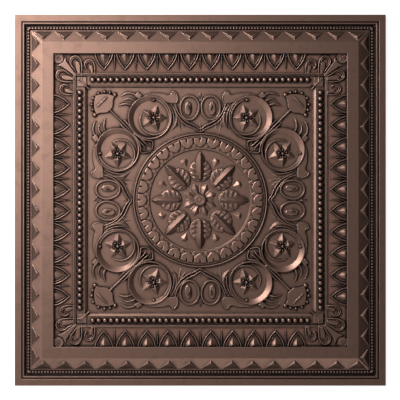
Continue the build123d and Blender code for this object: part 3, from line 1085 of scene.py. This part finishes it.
def antique_copper():
    """Copper rubbed bright on high parts, with a dark patina left in the low ones that is also painted shade
    in nooks, valleys and on steep sides, and a painted highlight with wear on the crests.
    """
    colours = sizes("tile_finish")
    material = bpy.data.materials.new("antique_copper")
    material.use_nodes = True
    tree = material.node_tree
    shader = tree.nodes["Principled BSDF"]
    place = tree.nodes.new("ShaderNodeTexCoord")
    facing = tree.nodes.new("ShaderNodeSeparateXYZ")
    tree.links.new(place.outputs["Normal"], facing.inputs["Vector"])
    # Patina and painted shade: nooks and valleys are darkened by ambient occlusion, and steep faces are
    # darkened as painted shade from the dark studio they would reflect, partly also as less rubbed metal.
    near = openness(tree, NOOK_REACH)
    nook_patina_and_shade = ramp(tree, near, 0.68, 0.96)
    valley_patina_and_shade = ramp(tree, openness(tree, VALLEY_REACH), 0.60, 0.94, 0.40)
    slope_wear_and_shade = ramp(tree, facing.outputs["Z"], 0.70, 0.925, 0.20)
    wear_and_painted_shade = sums(tree, "MULTIPLY", nook_patina_and_shade, valley_patina_and_shade)
    wear_and_painted_shade = sums(tree, "MULTIPLY", wear_and_painted_shade, slope_wear_and_shade)
    stains = ramp(tree, noise(tree, place.outputs["Object"], 60, 5), 0.3, 0.7, 0.84, 1.16)
    wear_and_painted_shade = sums(tree, "MULTIPLY", wear_and_painted_shade, stains, clamp=True)
    # The egg band's low floor is rougher, and darker as patina and as painted shade under the frame's wall.
    matt_and_shaded_floor = egg_band_floor(tree, place.outputs["Object"])
    wear_and_painted_shade = sums(tree, "MULTIPLY", wear_and_painted_shade, ramp(tree, matt_and_shaded_floor, 0.0, 1.0, 1.0, MATT_PATINA_AND_SHADE))
    # The rounded edge normal softens the shading, and where it turns from the face the colour is mixed
    # towards the crest colour, as rubbed metal and a painted highlight.
    soft = tree.nodes.new("ShaderNodeBevel")
    soft.samples = 6
    soft.inputs["Radius"].default_value = EDGE_ROUNDING
    turn = tree.nodes.new("ShaderNodeVectorMath")
    turn.operation = "DOT_PRODUCT"
    tree.links.new(soft.outputs["Normal"], turn.inputs[0])
    tree.links.new(place.outputs["Normal"], turn.inputs[1])
    crest = ramp(tree, turn.outputs["Value"], 0.988, 0.88)
    crest = sums(tree, "MULTIPLY", crest, ramp(tree, near, 0.50, 0.76))
    colour = mixed(tree, wear_and_painted_shade, colours.patina, colours.copper)
    colour = mixed(tree, crest, colour, colours.crest)
    tree.links.new(colour, shader.inputs["Base Color"])
    dull = ramp(tree, wear_and_painted_shade, 0.0, 1.0, PATINA_ROUGHNESS, colours.roughness)
    dull = sums(tree, "MAXIMUM", dull, ramp(tree, matt_and_shaded_floor, 0.0, 1.0, 0.0, MATT_ROUGHNESS))
    tree.links.new(dull, shader.inputs["Roughness"])
    bump = tree.nodes.new("ShaderNodeBump")
    bump.inputs["Strength"].default_value = 0.12
    bump.inputs["Distance"].default_value = 0.0003
    tree.links.new(noise(tree, place.outputs["Object"], 900, 3), bump.inputs["Height"])
    tree.links.new(soft.outputs["Normal"], bump.inputs["Normal"])
    tree.links.new(bump.outputs["Normal"], shader.inputs["Normal"])
    shader.inputs["Metallic"].default_value = 0.85
    return material


class TILE_OT_finish(bpy.types.Operator):
    """Give the sheet its antique copper finish"""

    bl_idname = "tile.finish"
    bl_label = "Antique Copper"

    def execute(self, context):
        """One material for the whole sheet, front and back."""
        sheet = bpy.data.objects["ceiling_tile_sheet"]
        sheet.data.materials.clear()
        sheet.data.materials.append(antique_copper())
        return {"FINISHED"}


# Squares of the grid across the camera's view, and the height at which they are that large.
VIEW_SQUARES = 400
VIEW_LEVEL = 0.005


class TILE_OT_stage(bpy.types.Operator):
    """Set up the floor, the lights and the camera"""

    bl_idname = "tile.stage"
    bl_label = "Studio"

    def execute(self, context):
        """A white floor, panels mostly on the left and a long lens from above."""
        lights = sizes("tile_stage")
        scene = context.scene
        scene.view_settings.view_transform = "Standard"
        start()
        bpy.ops.mesh.primitive_plane_add(size=8, location=(0, 0, -0.0002))
        floor = context.object
        floor.name = "floor"
        white = bpy.data.materials.new("studio_white")
        white.use_nodes = True
        tree = white.node_tree
        shader = tree.nodes["Principled BSDF"]
        shader.inputs["Base Color"].default_value = (0.9, 0.9, 0.9, 1)
        shader.inputs["Roughness"].default_value = 0.9
        shader.inputs["Emission Color"].default_value = (1, 1, 1, 1)
        shader.inputs["Emission Strength"].default_value = lights.floor
        floor.data.materials.append(white)
        world = scene.world or bpy.data.worlds.new("studio")
        scene.world = world
        world.use_nodes = True
        sky = world.node_tree.nodes["Background"]
        sky.inputs["Color"].default_value = (0.96, 0.95, 1.0, 1)
        sky.inputs["Strength"].default_value = lights.surround
        start()
        for name, place, size, power in (
            ("over_panel", (-0.36, 0.20, 0.80), (0.55, 0.46), lights.over),
            ("corner_panel", (-0.80, 0.75, 0.90), (0.5, 0.5), lights.corner),
            ("left_panel", (-1.05, 0.15, 0.75), (0.5, 1.0), lights.left),
            ("low_left_panel", (-0.85, -0.65, 0.75), (0.5, 0.5), lights.left * 0.45),
            ("front_panel", (0.0, -0.95, 0.80), (1.2, 0.4), lights.front),
            ("high_panel", (0.0, 0.0, 2.2), (2.0, 2.0), lights.high),
        ):
            bpy.ops.object.light_add(type="AREA", location=place)
            panel = context.object
            panel.name = name
            panel.data.shape = "RECTANGLE"
            panel.data.size, panel.data.size_y = size
            panel.data.energy = power
            aim = Vector((0, 0, 0)) - panel.location
            panel.rotation_euler = aim.to_track_quat("-Z", "Y").to_euler()
        lens = bpy.data.cameras.new("camera")
        camera = bpy.data.objects.new("camera", lens)
        context.collection.objects.link(camera)
        lens.lens = 180
        lens.sensor_width = 36
        width = VIEW_SQUARES * GRID
        distance = width / 2 / (lens.sensor_width / 2 / lens.lens)
        camera.location = (-0.28 * GRID, 0.15 * GRID, distance + VIEW_LEVEL)
        lens.clip_end = 50
        scene.camera = camera
        return {"FINISHED"}


class TILE_PT_panel(bpy.types.Panel):
    """The tile's steps, in order."""

    bl_label = "Ceiling Tile"
    bl_space_type = "VIEW_3D"
    bl_region_type = "UI"
    bl_category = "Ceiling Tile"

    def draw(self, context):
        """The sizes, then a button for each step."""
        for group in GROUPS:
            for name in GROUPS[group].__annotations__:
                self.layout.prop(getattr(context.scene, group), name)
        for step in STEPS:
            self.layout.operator(step.bl_idname)


GROUPS = {
    "tile_sheet": SheetSizes,
    "tile_border": BorderSizes,
    "tile_field": FieldSizes,
    "tile_finish": FinishColours,
    "tile_stage": StageLights,
}
STEPS = (
    TILE_OT_bands,
    TILE_OT_beads,
    TILE_OT_teeth,
    TILE_OT_eggs,
    TILE_OT_corner,
    TILE_OT_fan,
    TILE_OT_vine,
    TILE_OT_scrolls,
    TILE_OT_medallion,
    TILE_OT_form,
    TILE_OT_finish,
    TILE_OT_stage,
)


def register():
    """Register the sizes, the steps and the panel."""
    for name, group in GROUPS.items():
        bpy.utils.register_class(group)
        setattr(bpy.types.Scene, name, bpy.props.PointerProperty(type=group))
    for step in (*STEPS, TILE_PT_panel):
        bpy.utils.register_class(step)


def unregister():
    """Take them all away again."""
    for step in (TILE_PT_panel, *reversed(STEPS)):
        bpy.utils.unregister_class(step)
    for name, group in GROUPS.items():
        delattr(bpy.types.Scene, name)
        bpy.utils.unregister_class(group)


def main():
    """Build the tile and its stage."""
    register()
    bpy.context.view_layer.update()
    bpy.ops.tile.bands()
    bpy.ops.tile.beads()
    bpy.ops.tile.teeth()
    bpy.ops.tile.eggs()
    bpy.ops.tile.corner()
    bpy.ops.tile.fan()
    bpy.ops.tile.vine()
    bpy.ops.tile.scrolls()
    bpy.ops.tile.medallion()
    bpy.ops.tile.form()
    bpy.ops.tile.finish()
    bpy.ops.tile.stage()


if __name__ == "__main__":
    main()
